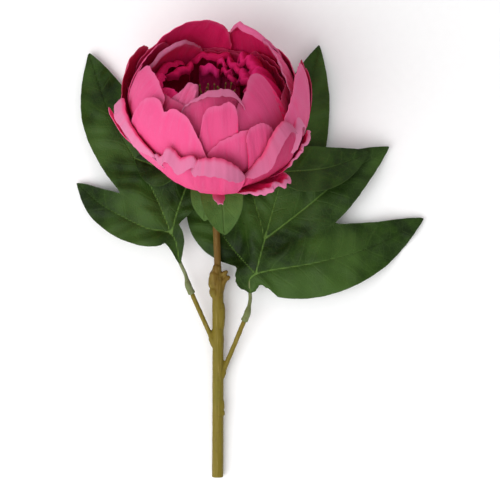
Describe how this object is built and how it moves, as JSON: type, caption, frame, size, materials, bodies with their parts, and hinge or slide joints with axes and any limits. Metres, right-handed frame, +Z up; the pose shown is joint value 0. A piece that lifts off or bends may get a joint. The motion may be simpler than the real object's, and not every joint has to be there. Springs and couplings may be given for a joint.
{
  "type": "artificial peony stem",
  "caption": "Cut artificial peony lying on its back: a full pink flower of formed fabric petals on a moulded stem with side branches, divided leaves and small sepals.",
  "frame": {"origin": "middle of the object's footprint, on the surface that it lies on", "axes": "+Y along the stem from its cut end to the flower, +Z up from the surface, +X to the right when the flower is seen from above with the stem towards the viewer"},
  "size_m": [0.2296, 0.2926, 0.1123],
  "materials": {
    "petal_fabric": "matte",
    "inner_petal_fabric": "matte",
    "leaf_fabric": "satin",
    "sepal_fabric": "matte",
    "calyx_plastic": "satin",
    "rib_plastic": "satin",
    "stem_plastic": "satin",
    "stamen_thread": "matte",
    "wire": "satin"
  },
  "bodies": {
    "root": {"calyx_cup": "calyx_plastic", "collar_leaf": "leaf_fabric", "head_pin": "stem_plastic", "left_leaf_blade": "leaf_fabric", "left_leaf_rib": "rib_plastic", "petal_ring_1": "petal_fabric", "petal_ring_2": "petal_fabric", "petal_ring_3": "petal_fabric", "petal_ring_4": "petal_fabric", "petal_ring_5": "petal_fabric", "petal_ring_6": "petal_fabric", "petal_ring_7": "inner_petal_fabric", "petal_ring_8": "inner_petal_fabric", "right_leaf_blade": "leaf_fabric", "right_leaf_rib": "rib_plastic", "sepal_ring": "sepal_fabric", "stamen_tuft": "stamen_thread", "stem": "stem_plastic", "stem_wire": "wire"}
  },
  "joints": []
}
